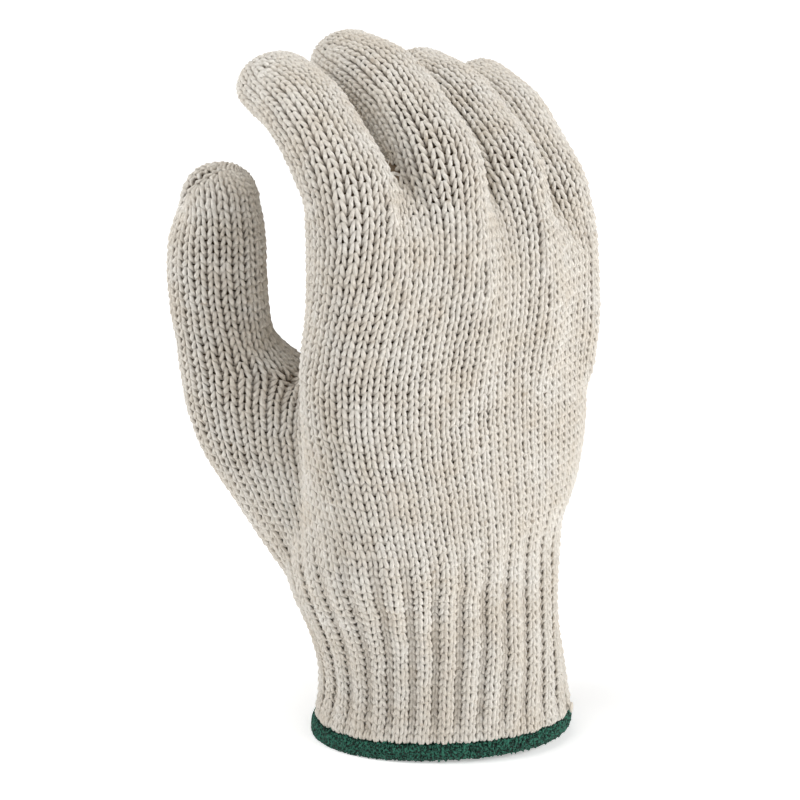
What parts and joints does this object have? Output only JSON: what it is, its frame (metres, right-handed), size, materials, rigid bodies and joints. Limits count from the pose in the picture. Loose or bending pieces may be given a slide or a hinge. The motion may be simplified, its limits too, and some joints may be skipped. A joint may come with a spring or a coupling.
{
  "type": "cotton work glove",
  "caption": "Seamless knitted cotton work glove for the right hand, filled as worn, with a ribbed cuff and a green overlocked hem.",
  "frame": {"origin": "middle of the cuff's opening, at the hem's lower edge, where the wrist goes in", "axes": "+Z from the cuff's opening to the fingertips, -Y out of the back of the hand, +Y out of the palm, -X to the thumb's side"},
  "size_m": [0.1123, 0.0892, 0.2057],
  "materials": {
    "cotton_knit": "matt natural cotton, coarse plain knit",
    "rib_knit": "matt natural cotton, elastic rib knit",
    "green_overlock": "dark green thread, overlocked"
  },
  "bodies": {
    "root": {"index_stall": "cotton_knit", "middle_stall": "cotton_knit", "ring_stall": "cotton_knit", "little_stall": "cotton_knit", "thumb_stall": "cotton_knit", "palm_heel": "cotton_knit", "palm_middle": "cotton_knit", "knuckle_band": "cotton_knit", "index_middle_roots": "cotton_knit", "ring_little_roots": "cotton_knit", "rib_cuff": "rib_knit", "overlock_hem": "green_overlock"}
  },
  "joints": []
}
